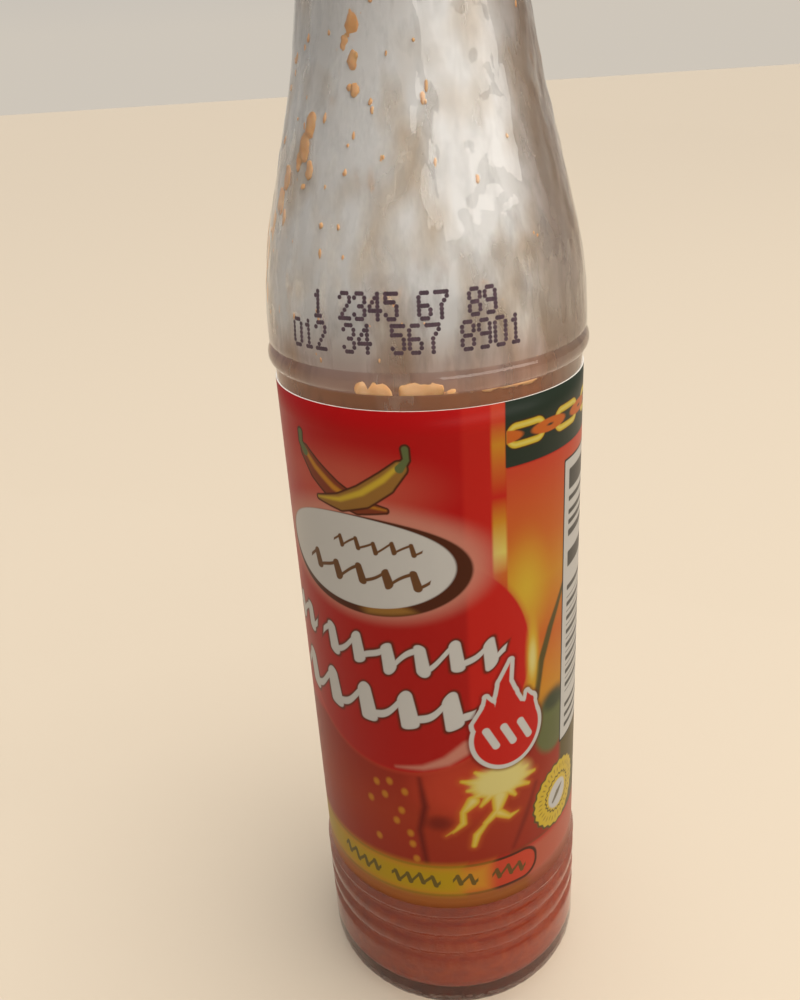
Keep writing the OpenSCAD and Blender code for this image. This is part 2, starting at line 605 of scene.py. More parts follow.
dried_film, tree, shader = new_material("dried_film")
set_inputs(shader, Roughness=0.55, Specular_IOR_Level=0.3)
streaks = noise_node(tree, 520, 4.0, (1, 1, 0.28))
clouds = noise_node(tree, 150, 2.0, (1, 1, 0.5))
tint = ramp(tree, clouds, [(0.36, (0.45, 0.36, 0.27)), (0.46, (0.54, 0.50, 0.46)),
                           (0.54, (0.60, 0.595, 0.595))])
film_axes = axes_of(tree, "Object")
low_down = range_node(tree, film_axes["Z"], STAIN_TOP * MM, STAIN_FOOT * MM)
tint = colour_over(tree, low_down, tint, STAIN)
# Painted shade: the right flank is browned where the glass shows a dark edge.
leaning = math_node(tree, "MULTIPLY_ADD", film_axes["Z"], FLANK_LEAN, -FLANK_SHIFT * MM)
beside = math_node(tree, "ADD", film_axes["X"], leaning)
flank = range_node(tree, beside, FLANK_FROM * MM, FLANK_FULL * MM, FLANK_STRENGTH)
tint = colour_over(tree, flank, tint, PAINTED_FLANK_SHADE)
tree.links.new(tint, shader.inputs["Base Color"])
patches = math_node(tree, "MULTIPLY", streaks, clouds)
veil = ramp(tree, patches, [(0.14, (0.28,) * 3), (0.22, (0.50,) * 3), (0.31, (0.85,) * 3)])
veil = math_node(tree, "MULTIPLY_ADD", low_down, STAIN_THICKER, veil)
tree.links.new(veil, shader.inputs["Alpha"])
film.data.materials.append(dried_film)
settle(film)
hand_over(film, "bottle")
print("film:", len(film.data.polygons), "faces")

# %% [markdown]
# ## Smears and specks
# Each smear is a small sphere, flattened against the wall, stretched along the way the
# sauce ran and roughened a little. The large ones are listed: azimuth from the front in
# degrees, height, half width, half height. The small ones are scattered with a seeded
# random generator, so that every run gives the same bottle.

# %% Smears of sauce
SMEAR_THICK = 0.22
SPECK = 0.3
smears = [
    (-33, 125.6, 0.8, 1.5), (-31, 122.6, 0.6, 1.0), (-29, 120.0, 0.45, 0.7), (-36, 124.2, 0.5, 0.9),
    (-54, 117.0, 0.7, 1.3), (-57, 115.0, 0.8, 1.4), (-52, 112.9, 0.6, 1.0), (-60, 113.6, 0.5, 0.9),
    (-68, 112.0, 0.8, 1.2), (-72, 109.6, 0.9, 1.4), (-77, 107.0, 0.8, 1.6), (-66, 108.2, 0.5, 0.9),
    (-84, 104.0, 1.0, 1.8), (-88, 101.0, 0.9, 1.6), (-80, 100.0, 0.6, 1.1), (-95, 105.0, 1.1, 2.4),
    (-20, 92.6, 2.0, 0.30), (-12, 92.4, 1.6, 0.22), (-3, 92.7, 2.2, 0.36), (6, 92.4, 2.4, 0.28),
    (15, 92.1, 2.0, 0.38), (23, 91.7, 1.6, 0.26), (34, 91.6, 2.2, 0.30), (48, 92.0, 2.0, 0.24),
    (150, 96.0, 2.0, 1.0), (172, 98.0, 1.5, 2.6), (196, 95.0, 2.4, 0.8), (120, 104.0, 1.0, 3.0),
    (215, 110.0, 0.9, 2.2), (240, 118.0, 0.7, 1.8), (96, 122.0, 0.6, 1.6), (186, 128.0, 0.6, 2.0),
]
dice = random.Random(11)
for _ in range(130):
    side = dice.choice((-1, -1, 1))
    azimuth = dice.gauss(-55, 30) if side < 0 else dice.uniform(-180, 180)
    size = dice.uniform(0.07, 0.24)
    smears.append((azimuth, dice.uniform(94, 138), size, size * dice.uniform(1.0, 2.6)))


def wall_point(azimuth, height, inset):
    """A point on the wall and the wall's lean there; azimuth 0 is the front."""
    radius = outer_radius(height) - inset
    turn = math.radians(azimuth)
    lean_here = math.atan2(outer_radius(height - 0.5) - outer_radius(height + 0.5), 1.0)
    return Vector((radius * math.sin(turn), -radius * math.cos(turn), height)) * MM, lean_here


drops = []
for azimuth, height, half_width, half_height in smears:
    deselect_all()
    place, lean_here = wall_point(azimuth, height, WALL + 0.02)
    around, rings = (8, 6) if half_width < SPECK else (16, 12)
    bpy.ops.mesh.primitive_uv_sphere_add(segments=around, ring_count=rings, radius=MM)
    drop = bpy.context.object
    drop.scale = (half_width, min(SMEAR_THICK, half_width), half_height)
    drop.rotation_euler = (-lean_here, 0, math.radians(azimuth))
    drop.location = place
    drops.append(drop)
residue = join(drops, "residue")
settle(residue)
residue.vertex_groups.new(name="all").add(range(len(residue.data.vertices)), 1, "REPLACE")
displace(residue, "all", "CLOUDS", 0.8, 1.0, 0.5)
bpy.ops.object.shade_smooth()

dried_sauce, tree, shader = new_material("dried_sauce")
set_inputs(shader, Roughness=0.5, Specular_IOR_Level=0.3, Subsurface_Weight=0.3,
           Subsurface_Radius=(1.0, 0.5, 0.2), Subsurface_Scale=0.5 * MM)
tint = ramp(tree, noise_node(tree, 500),
            [(0.35, (0.58, 0.29, 0.10)), (0.65, (0.66, 0.40, 0.21))])
tree.links.new(tint, shader.inputs["Base Color"])
residue.data.materials.append(dried_sauce)
residue.vertex_groups.clear()
settle(residue)
hand_over(residue, "bottle")
print("residue:", len(smears), "smears and specks,", len(residue.data.polygons), "faces")

# %% [markdown]
# ## A dotted date code
# A packing line sprays its code on the shoulder in rows of ink dots, seven dots high. Only
# counting digits are used here, so that the code says nothing. Each digit is a seven-row
# pattern of bits. One dot is modelled, and every copy is set on the rippled glass where a
# ray from outside meets it, turned to face along the surface normal.

# %% Ink dots
DOT_R, DOT_LIFT = 0.24, 0.012
RAY_START, RAY_END = -8, 1
DIGITS = {
    "0": (14, 17, 17, 17, 17, 17, 14), "1": (4, 12, 4, 4, 4, 4, 14),
    "2": (14, 17, 1, 2, 4, 8, 31), "3": (14, 17, 1, 6, 1, 17, 14),
    "4": (2, 6, 10, 18, 31, 2, 2), "5": (31, 16, 30, 1, 1, 17, 14),
    "6": (14, 16, 16, 30, 17, 17, 14), "7": (31, 1, 2, 4, 4, 4, 4),
    "8": (14, 17, 17, 14, 17, 17, 14), "9": (14, 17, 17, 15, 1, 1, 14),
    " ": (0, 0, 0, 0, 0, 0, 0),
}
CODE_LINES = [
    ("1 2345 67 89", -12.0, 102.35, 0.27, 0.40),
    ("012 34 567 8901", -15.4, 99.3, 0.285, 0.44),
]


def code_dots(text, left, top, pitch_x, pitch_z):
    """Azimuth and height of every dot in a line of digits, in degrees and mm."""
    for index, character in enumerate(text):
        for row, bits in enumerate(DIGITS[character]):
            for column in range(5):
                if bits >> (4 - column) & 1:
                    across = left + (index * 6 + column) * pitch_x
                    yield math.degrees(across / outer_radius(top)), top - row * pitch_z


deselect_all()
bpy.ops.mesh.primitive_cylinder_add(vertices=8, radius=DOT_R * MM, depth=2 * DOT_LIFT * MM)
dot = bpy.context.object
dots = []
for line_of in CODE_LINES:
    for azimuth, height in code_dots(*line_of):
        far = wall_point(azimuth, height, RAY_START)[0]
        near = wall_point(azimuth, height, RAY_END)[0]
        place, normal = glass.ray_cast(far, near - far)[1:3]
        facing = normal.to_track_quat("Z", "Y").to_matrix().to_4x4()
        copy = bpy.data.objects.new("ink_dot", dot.data.copy())
        copy.matrix_world = Matrix.Translation(place) @ facing
        bpy.context.collection.objects.link(copy)
        dots.append(copy)
bpy.data.objects.remove(dot)
date_code = join(dots, "date_code")

violet_ink, tree, shader = new_material("violet_ink")
set_inputs(shader, Roughness=0.55)
tint = ramp(tree, noise_node(tree, 1500),
            [(0.3, (0.035, 0.016, 0.030)), (0.7, (0.075, 0.040, 0.060))])
tree.links.new(tint, shader.inputs["Base Color"])
date_code.data.materials.append(violet_ink)
settle(date_code)
hand_over(date_code, "bottle")
print("date code:", len(dots), "dots")

# %% [markdown]
# ## What is left of the sauce
# Sauce has no air gap where it wets the glass, so its skin reaches a tenth of a millimetre
# into the wall. At the rim it climbs the glass a little, which the extra arc draws. Its
# colour is a cooked orange-brown with darker flecks of pepper.

# %% Sauce
WET = 0.1
MENISCUS = 0.9
SAUCE_LEVEL = sauce_high.z / MM
sauce_r = BORE_R + WET


def sauce_outline():
    corner = (BORE_R - FLOOR_ROUND, FLOOR_H + FLOOR_ROUND)
    points = dome(BORE_R - FLOOR_ROUND, FLOOR_H - WET, FLOOR_DOME, 8)
    points += arc(corner, FLOOR_ROUND + WET, -90, 0, 10)
    points += line((sauce_r, corner[1]), (sauce_r, SAUCE_LEVEL), 24)
    points += arc((sauce_r - MENISCUS, SAUCE_LEVEL), MENISCUS, 0, -90, 6)
    points += [(0, SAUCE_LEVEL - MENISCUS)]
    return points


sauce = draw_outline("sauce", sauce_outline())
spin_shape(sauce, 128)

cooked_sauce, tree, shader = new_material("cooked_sauce")
set_inputs(shader, Roughness=0.35, Specular_IOR_Level=0.3, Subsurface_Weight=0.25,
           Subsurface_Radius=(1.0, 0.35, 0.1), Subsurface_Scale=1.5 * MM)
flecks = noise_node(tree, 900, 4.0)
tint = ramp(tree, flecks, [(0.25, (0.21, 0.015, 0.0005)), (0.50, (0.27, 0.024, 0.001)),
                           (0.75, (0.32, 0.036, 0.001))])
tree.links.new(tint, shader.inputs["Base Color"])
add_bump(tree, shader, flecks, 0.05 * MM)
sauce.data.materials.append(cooked_sauce)
settle(sauce)
hand_over(sauce, "sauce")
print("sauce:", len(sauce.data.polygons), "faces")

# %% [markdown]
# ## The paper label
# The label is one strip of paper wrapped once round, with its ends lapped at the back.
# A vertical edge is spun a little more than a full turn, the last stretch is lifted on to
# the first, and Solidify gives the paper its thickness. A UV map unrolls it: U runs along
# the paper and V up it, so that all printing can be laid out flat, in millimetres, with
# zero at the front.

# %% Label strip
PAPER = 0.18
LABEL_R = label_high.x / MM
LAP = 6.0
LABEL_HALF = math.pi * LABEL_R
LABEL_TALL = LABEL_H1 - LABEL_H0
LABEL_ROWS = 24
LABEL_STEPS = 248
lap_angle = LAP / LABEL_R

label = draw_outline("label", [(LABEL_R, LABEL_H0)]
                     + line((LABEL_R, LABEL_H0), (LABEL_R, LABEL_H1), LABEL_ROWS)
                     + [(LABEL_R, LABEL_H1)])
take(label)
bpy.ops.object.mode_set(mode="EDIT")
bpy.ops.mesh.select_all(action="SELECT")
bpy.ops.transform.rotate(value=-math.pi / 2, orient_axis="Z", center_override=(0, 0, 0))
bpy.ops.mesh.spin(steps=LABEL_STEPS, angle=FULL_TURN + lap_angle, center=(0, 0, 0),
                  axis=(0, 0, 1), use_auto_merge=False)
bpy.ops.object.mode_set(mode="OBJECT")
bpy.ops.object.shade_smooth()

rows_each = LABEL_ROWS + 1
turn_step = (FULL_TURN + lap_angle) / LABEL_STEPS
sheet_map = label.data.uv_layers.new(name="sheet")
for loop in label.data.loops:
    vertex = label.data.vertices[loop.vertex_index]
    turned = vertex.index // rows_each * turn_step
    along = turned * LABEL_R / (2 * LABEL_HALF + LAP)
    sheet_map.data[loop.index].uv = (1 - along, (vertex.co.z / MM - LABEL_H0) / LABEL_TALL)
for vertex in label.data.vertices:
    turned = vertex.index // rows_each * turn_step
    lift = PAPER * fade(turned, FULL_TURN - 0.06, FULL_TURN + 0.02)
    vertex.co.xy *= 1 + lift * MM / vertex.co.xy.length
print("label strip:", len(label.data.polygons), "faces, lapped by", LAP, "mm")

# %% [markdown]
# ## A printer's sheet made of nodes
# Artwork on a pack is flat shapes with clean edges, which nodes can draw at any size. Each
# shape is a distance in millimetres, negative inside, and colours are laid on in order,
# as inks are. Circles, ellipses, rounded boxes and tapered strokes are enough, because two
# shapes can be joined (the smaller distance) or kept to their common part (the larger one).

# %% Sheet set-up
printed_paper, sheet_tree, paper_shader = new_material("printed_paper")
nodes, links = sheet_tree.nodes, sheet_tree.links


def sums(operation, *values):
    """One Math node on the sheet."""
    return math_node(sheet_tree, operation, *values)


def vectors(operation, *values, scale=None):
    """One Vector Math node on the sheet."""
    node = nodes.new("ShaderNodeVectorMath")
    node.operation = operation
    for socket, value in zip(node.inputs, values):
        feed(socket, value)
    if scale is not None:
        feed(node.inputs["Scale"], scale)
    single = operation in ("LENGTH", "DISTANCE", "DOT_PRODUCT")
    return node.outputs["Value" if single else "Vector"]


uv_node = nodes.new("ShaderNodeUVMap")
uv_node.uv_map = "sheet"
SHEET = vectors("MULTIPLY_ADD", uv_node.outputs["UV"], (2 * LABEL_HALF + LAP, LABEL_TALL),
                (-LABEL_HALF - LAP, LABEL_H0))
split = nodes.new("ShaderNodeSeparateXYZ")
links.new(SHEET, split.inputs[0])
ACROSS, UP = split.outputs["X"], split.outputs["Y"]

# %% Shapes on the sheet


def circle(centre, radius, sheet=SHEET):
    return sums("SUBTRACT", vectors("DISTANCE", sheet, centre), radius)


def ellipse(centre, wide, tall, sheet=SHEET):
    """wide and tall are half its width and half its height."""
    away = vectors("SUBTRACT", sheet, centre)
    unit = vectors("LENGTH", vectors("MULTIPLY", away, (1 / wide, 1 / tall)))
    return sums("MULTIPLY_ADD", unit, min(wide, tall), -min(wide, tall))


def box(low, high, corner=0.2, sheet=SHEET):
    """A rounded box between its lower left and upper right corners."""
    centre = ((low[0] + high[0]) / 2, (low[1] + high[1]) / 2)
    reach = (corner - (high[0] - low[0]) / 2, corner - (high[1] - low[1]) / 2)
    away = vectors("ABSOLUTE", vectors("SUBTRACT", sheet, centre))
    outside = vectors("MAXIMUM", vectors("ADD", away, reach), (0, 0))
    return sums("SUBTRACT", vectors("LENGTH", outside), corner)


def stroke(start, end, start_r, end_r, sheet=SHEET):
    """A round-ended stroke that swells or tapers along its length."""
    run = (end[0] - start[0], end[1] - start[1])
    size = run[0] ** 2 + run[1] ** 2
    away = vectors("SUBTRACT", sheet, start)
    share = vectors("DOT_PRODUCT", away, (run[0] / size, run[1] / size))
    share = sums("MAXIMUM", sums("MINIMUM", share, 1), 0)
    off = vectors("LENGTH", vectors("SUBTRACT", away, vectors("SCALE", run, scale=share)))
    return sums("SUBTRACT", off, sums("MULTIPLY_ADD", share, end_r - start_r, start_r))


def path(points, radii, sheet=SHEET):
    """Strokes joined end to end, with a radius at every point."""
    return joined(*[
        stroke(points[k], points[k + 1], radii[k], radii[k + 1], sheet)
        for k in range(len(points) - 1)
    ])


def joined(*shapes):
    whole = shapes[0]
    for shape in shapes[1:]:
        whole = sums("MINIMUM", whole, shape)
    return whole


def common(one, other):
    return sums("MAXIMUM", one, other)


def outline(shape, half_width):
    return sums("SUBTRACT", sums("ABSOLUTE", shape), half_width)


def repeated(start, pitch):
    """The sheet folded so that what lies in one pitch across repeats along it."""
    return vectors("WRAP", SHEET, (start + pitch, 1000), (start, -1000))


# %% Inks
colour_now = None


def cover(shape, soft, strength=1.0):
    """1 inside a shape and 0 outside, over a soft edge in mm."""
    node = nodes.new("ShaderNodeMapRange")
    node.interpolation_type = "SMOOTHSTEP"
    node.clamp = False
    feed(node.inputs["Value"], shape)
    feed(node.inputs["From Min"], soft / 2)
    feed(node.inputs["From Max"], -soft / 2)
    feed(node.inputs["To Max"], strength)
    return node.outputs["Result"]


def lay(ink, shape, soft=0.16, strength=1.0):
    """Lays an ink, or another colour socket, over what is printed so far."""
    global colour_now
    amount = cover(shape, soft, strength)
    colour_now = colour_over(sheet_tree, amount, colour_now, ink)


def vertical(stops):
    """A colour that changes with height, from (height in mm, ink) pairs."""
    low, high = stops[0][0], stops[-1][0]
    place = sums("MULTIPLY_ADD", UP, 1 / (high - low), -low / (high - low))
    places = [((height - low) / (high - low), ink) for height, ink in stops]
    return ramp(sheet_tree, place, places)


PAPER_WHITE = (0.80, 0.78, 0.74)
DEEP_RED = (0.62, 0.004, 0.004)
BRIGHT_RED = (0.72, 0.018, 0.010)
LOBE_RED = (0.52, 0.008, 0.006)
PEPPER_RED = (0.42, 0.030, 0.010)
CREASE_RED = (0.16, 0.006, 0.003)
ORANGE_RED = (0.76, 0.075, 0.030)
ORANGE = (0.78, 0.18, 0.025)
GOLD_ORANGE = (0.80, 0.34, 0.025)
GOLD = (0.88, 0.62, 0.05)
BRIGHT_YELLOW = (0.95, 0.82, 0.18)
PALE_YELLOW = (0.94, 0.82, 0.30)
PEACH = (0.85, 0.42, 0.30)
BROWN = (0.10, 0.022, 0.006)
OLD_GOLD = (0.42, 0.20, 0.04)
FOREST = (0.030, 0.045, 0.030)
LEAF = (0.16, 0.20, 0.07)
OLIVE = (0.14, 0.10, 0.022)
BLACK_INK = (0.020, 0.018, 0.016)

# %% [markdown]
# ## Fields of colour
# The big fields go on first: red all round, a brighter red on the right that is a painted
# sheen, a warm field that runs from orange-red down to gold, a dark green band across the
# top of it with a yellow chain, and a narrow gold bar where red and orange meet.

# %% Print the fields
colour_now = (*DEEP_RED, 1)
# Painted sheen: the red right of 3 mm across is brightened as if the paper's gloss caught the
# light.
lay(BRIGHT_RED, sums("SUBTRACT", 3.0, ACROSS), 0.8)
halo = ellipse((-10.5, 81.5), 8.6, 3.4)
lay((0.80, 0.20, 0.12), halo, 5.0, 0.6)

warm_field = vertical([
    (43, OLIVE), (52, GOLD_ORANGE), (60, ORANGE), (68, GOLD_ORANGE), (74, ORANGE),
    (83, ORANGE_RED),
])
lay(warm_field, box((7.9, 28), (44, 83)), 0.3)
lay(GOLD, ellipse((10.5, 67.5), 2.2, 4.5), 5.0, 0.8)

gold_bar = vertical([
    (62, BRIGHT_RED), (70.5, ORANGE), (73.2, BRIGHT_YELLOW), (77, GOLD_ORANGE),
    (80, BRIGHT_RED), (83.5, ORANGE), (86, GOLD_ORANGE), (88.5, ORANGE_RED),
])
lay(gold_bar, box((6.2, 60), (7.9, 92)), 0.5)

# %% Print the green band and its chain
LINK_PITCH = 7.0
CHAIN_H = 86.55
lay(FOREST, box((7.85, 83.1), (50, 92)), 0.2)
long_fold = repeated(7.15, LINK_PITCH)
long_link = outline(box((8.3, CHAIN_H - 1.05), (13.0, CHAIN_H + 1.05), 0.95, long_fold), 0.38)
short_fold = repeated(10.65, LINK_PITCH)
short_link = outline(ellipse((14.15, CHAIN_H), 1.7, 0.45, short_fold), 0.32)
band_part = sums("SUBTRACT", 8.0, ACROSS)
band_end = sums("SUBTRACT", ACROSS, 50.0)
in_band = sums("MAXIMUM", band_part, band_end)
lay(BROWN, common(in_band, outline(long_link, 0.12)), 0.3)
lay(GOLD, common(in_band, long_link), 0.2)
lay(BRIGHT_YELLOW, common(in_band, sums("ADD", long_link, 0.22)), 0.25, 0.9)
lay(ORANGE, common(in_band, short_link), 0.2)

# %% [markdown]
# ## The picture at the foot
# Under the title there is a picture of whole peppers with a burst of yellow on them. It
# needs no drawing skill: dark creases between two red lobes, a scatter of orange specks,
# and a bright core with tapered rays and drips.

# %% Print the peppers and the burst
peppers = vertical([(28, PEPPER_RED), (36, (0.48, 0.045, 0.012)), (46, (0.40, 0.02, 0.008))])
lay(peppers, box((-60, 28), (17.3, 47), 0.7), 1.2)
lay(ORANGE_RED, ellipse((1.5, 41), 5.5, 4.5), 5.0, 0.7)
lay(CREASE_RED, path([(-3.6, 42.5), (-3.1, 38), (-3.9, 34), (-3.3, 28.5)],
                     [0.2, 0.45, 0.35, 0.3]), 1.1, 0.9)
lay(CREASE_RED, ellipse((-1.4, 35.4), 1.6, 1.1), 1.6, 0.7)
lay(CREASE_RED, path([(8.5, 29), (10.5, 33.5), (12.2, 38)], [0.2, 0.4, 0.2]), 1.0, 0.6)
SPECKS = [
    (-9.5, 40.5), (-7.6, 41.2), (-5.6, 40.0), (-8.4, 38.8), (-6.2, 36.8), (-5.2, 33.2),
    (-5.0, 31.4), (-9.8, 31.2), (-4.6, 28.9), (-10.6, 37.4), (-7.0, 34.9),
]
for speck in SPECKS:
    lay(GOLD_ORANGE, ellipse(speck, 0.42, 0.55), 0.5, 0.75)

BURST, RAYS = (6.6, 40.7), 13
rays = []
for k in range(RAYS):
    angle = math.radians(-8 + 360 * k / RAYS)
    reach = (1.0, 0.8, 0.92)[k % 3]
    tip = (BURST[0] + 5.3 * reach * math.cos(angle), BURST[1] + 3.5 * reach * math.sin(angle))
    rays.append(stroke(BURST, tip, 1.3, 0.34))
drips = [
    path([(3.0, 38.6), (1.7, 37.0), (1.7, 35.2), (0.3, 33.7)], [1.0, 0.5, 0.55, 0.2]),
    path([(1.7, 35.0), (-0.6, 33.2)], [0.4, 0.1]),
    path([(6.6, 38.4), (6.2, 36.2), (4.6, 34.6)], [1.3, 0.7, 0.5]),
    path([(4.7, 34.6), (3.4, 32.9), (3.0, 31.2)], [0.4, 0.6, 0.45]),
    path([(6.4, 35.8), (7.9, 34.6), (9.2, 34.9)], [0.8, 0.5, 0.2]),
]
burst = joined(ellipse(BURST, 4.0, 2.4), *rays, *drips)
lay(ORANGE, burst, 1.8, 0.85)
lay(GOLD, sums("ADD", burst, 0.1), 0.45, 0.95)
lay(PALE_YELLOW, sums("ADD", burst, 0.6), 0.8, 0.9)
lay(PALE_YELLOW, ellipse((7.0, 41.2), 3.9, 2.3), 1.6, 0.9)

# %% Print the leaf, its line and the red lobe behind the title
lay(LEAF, ellipse((15.5, 46.0), 3.6, 4.6), 1.2, 0.95)
lay(FOREST, ellipse((15.6, 49.6), 2.4, 1.6), 1.6, 0.75)
lay(OLIVE, path([(17.3, 65.3), (14.6, 60.6), (12.9, 56.4), (12.2, 51.5)],
                [0.3, 0.55, 0.6, 0.45]), 0.5)
lobe = ellipse((-6.5, 59.2), 17.4, 15.8)
lay(ORANGE_RED, sums("SUBTRACT", lobe, 0.5), 0.9, 0.5)
lay(BRIGHT_RED, sums("SUBTRACT", lobe, 0.1), 0.3)
# The lobe is printed; left of 3 mm across it is its own darker red, and its bright red right of
# that line is the painted sheen.
lay(LOBE_RED, common(lobe, sums("SUBTRACT", ACROSS, 3.0)), 0.8, 0.85)
lay(PEACH, path([(-6.5, 43.9), (-3, 44.3), (0, 45.4), (2.6, 47.3)],
                [0.05, 0.35, 0.7, 0.95]), 0.9, 0.7)
lay(GOLD, ellipse((11.5, 58), 0.85, 4.2), 1.1, 0.95)
lay(PALE_YELLOW, ellipse((11.5, 57.6), 0.5, 2.1), 0.8, 0.95)

# %% [markdown]
# ## The badge
# A plain white oval with a brown and gold rim sits high on the red. Where a maker would
# put a crest, this one has two crossed peppers, and where a maker would put words there
# are lines of scribble. So the label carries colour and detail but names nobody.

# %% Peppers and scribble


def pepper(points, widths, skin, shine, stem, leaf_ink):
    """A pepper: a dark edge, its skin, a narrow highlight and a stem at its first point."""
    body = path(points, widths)
    stalk = path([points[0], *stem], [0.62 * widths[0], 0.3, 0.36])
    lay(BROWN, sums("SUBTRACT", joined(body, stalk), 0.24), 0.2)
    lay(skin, body, 0.25)
    glint = path([(x - 0.1 * w, y + 0.35 * w) for (x, y), w in zip(points, widths)],
                 [0.28 * w for w in widths])
    lay(shine, glint, 0.5, 0.85)
    lay(leaf_ink, stalk, 0.2)


def scribble(base, left, count, tall, pitch, thin, thick, lean=0.25):
    """Thick falling strokes joined by thin rising ones, repeated count times."""
    waver = sums("MULTIPLY", sums("SINE", sums("MULTIPLY", ACROSS, 1.1)), 0.14 * tall)
    height = sums("SUBTRACT", sums("SUBTRACT", UP, base), waver)
    along = sums("MULTIPLY_ADD", height, -lean, ACROSS)
    cell = nodes.new("ShaderNodeCombineXYZ")
    feed(cell.inputs["X"], sums("WRAP", along, left + pitch, left))
    feed(cell.inputs["Y"], height)
    spot = cell.outputs["Vector"]
    top, foot = (left + 0.37 * pitch, tall / 2), (left + 0.63 * pitch, -tall / 2)
    body = joined(stroke(top, foot, 0.85 * thick, thick, spot),
                  stroke((foot[0] - pitch, foot[1]), top, thin, thin, spot),
                  stroke(foot, (top[0] + pitch, top[1]), thin, thin, spot))
    half = count * pitch / 2
    ends = sums("SUBTRACT", sums("ABSOLUTE", sums("SUBTRACT", along, left + half)), half)
    return common(body, ends)


# %% Print the badge
OVAL = (-10.0, 72.3)
OVAL_BROWN = (0.20, 0.085, 0.030)
lay(PEACH, ellipse((-8.6, 72.4), 14.6, 7.3), 2.6, 0.7)
lay(BROWN, ellipse((-9.2, 71.9), 13.1, 6.3), 0.25)
lay(OLD_GOLD, common(ellipse((-9.3, 71.8), 12.8, 6.0), ellipse((-6, 66.4), 3.2, 1.1)), 0.8)
lay(OLD_GOLD, common(ellipse((-9.2, 71.9), 12.7, 5.9), ellipse((-19, 76), 4.6, 3.2)), 1.2, 0.8)
lay(PAPER_WHITE, ellipse(OVAL, 12.0, 5.75), 0.2)
lay(OVAL_BROWN, scribble(74.6, -12.6, 5, 1.15, 2.2, 0.15, 0.30), 0.15)
lay(OVAL_BROWN, scribble(70.8, -17.4, 5, 1.7, 3.3, 0.22, 0.52), 0.15)
to_right = [(-16.2, 84.2), (-14.4, 82.4), (-11.8, 80.6), (-8.8, 79.4), (-5.4, 79.2)]
to_left = [(-19.8 - x, z) for x, z in to_right]
FAT = [0.8, 1.2, 1.25, 0.95, 0.2]
pepper(to_right, FAT, (0.30, 0.055, 0.018), GOLD_ORANGE, [(-17.0, 85.2), (-16.9, 86.4)], LEAF)
pepper(to_left, FAT, OLD_GOLD, GOLD, [(-2.8, 85.2), (-2.9, 86.4)], LEAF)

# %% [markdown]
# ## Where the title would be
# Three thick white scribbles, each with a brown edge, give the weight and rhythm of a
# brushed title without spelling anything. A scribble is one cell, folded so that it
# repeats: a falling stroke that is thick and rising ones that are thin, as a brush makes
# them.

# %% Print the title's scribbles
TITLE_LINES = [
    (61.2, -24.6, 2, 2.7, 3.3, 0.38, 0.78),
    (60.3, -16.6, 6, 2.9, 4.05, 0.38, 0.82),
    (52.5, -23.4, 5, 3.6, 5.4, 0.50, 1.12),
]
for line_of in TITLE_LINES:
    lay(BROWN, sums("SUBTRACT", scribble(*line_of), 0.30), 0.45, 0.85)
for line_of in TITLE_LINES:
    lay(PAPER_WHITE, scribble(*line_of), 0.2)

# %% Print the flame badge
FLAME = (7.9, 47.9)
flame_parts = [
    circle(FLAME, 4.75),
    path([(5.2, 50.4), (5.4, 52.6), (5.0, 54.2)], [2.0, 0.9, 0.1]),
    path([(7.9, 50.5), (7.6, 53.4), (7.4, 55.6), (8.3, 58.6)], [2.6, 1.5, 0.85, 0.1]),
    path([(10.5, 50.0), (11.0, 51.6), (10.6, 53.2)], [1.9, 0.9, 0.1]),
]
flame = joined(*flame_parts)
lay(CREASE_RED, sums("SUBTRACT", flame, 0.75), 0.6, 0.6)
lay(PAPER_WHITE, sums("SUBTRACT", flame, 0.42), 0.18)
lay(BRIGHT_RED, sums("ADD", flame, 0.18), 0.18)
for k in range(3):
    left = FLAME[0] - 3.35 + 2.35 * k
    lay(PAPER_WHITE, stroke((left + 0.35, 49.2), (left + 1.65, 46.6), 0.5, 0.5), 0.18)

# %% [markdown]
# ## Seal, panel and bands
# The seal's wavy edge comes from the angle round its centre: a sine of that angle moves
# the rim in and out. The white panel would hold small print, and has plain bars of several
# weights instead. The yellow band has short scribbles.

# %% Print the seal
SEAL = (17.0, 33.2)
off_seal = vectors("SUBTRACT", SHEET, SEAL)
seal_split = nodes.new("ShaderNodeSeparateXYZ")
links.new(off_seal, seal_split.inputs[0])
seal_angle = sums("ARCTAN2", seal_split.outputs["Y"], seal_split.outputs["X"])
wave = sums("SINE", sums("MULTIPLY", seal_angle, 22))
seal_r = sums("MULTIPLY_ADD", wave, -0.13, vectors("LENGTH", off_seal))
lay(OLIVE, sums("SUBTRACT", seal_r, 5.35), 0.3)
lay(GOLD, sums("SUBTRACT", seal_r, 5.0), 0.25)
ticks = sums("MULTIPLY_ADD", sums("SINE", sums("MULTIPLY", seal_angle, 34)), 0.5, 0.25)
lay(OLIVE, common(ticks, outline(sums("SUBTRACT", seal_r, 3.95), 0.3)), 0.4, 0.55)
lay(OLIVE, sums("SUBTRACT", seal_r, 2.95), 0.25)
lay(GOLD, sums("SUBTRACT", seal_r, 2.7), 0.25)
lay(PAPER_WHITE, ellipse((16.9, 33.0), 2.15, 2.2), 0.4)
lay(OLIVE, path([(15.8, 32.2), (16.9, 33.2), (18.0, 33.9)], [0.25, 0.45, 0.15]), 0.3, 0.8)

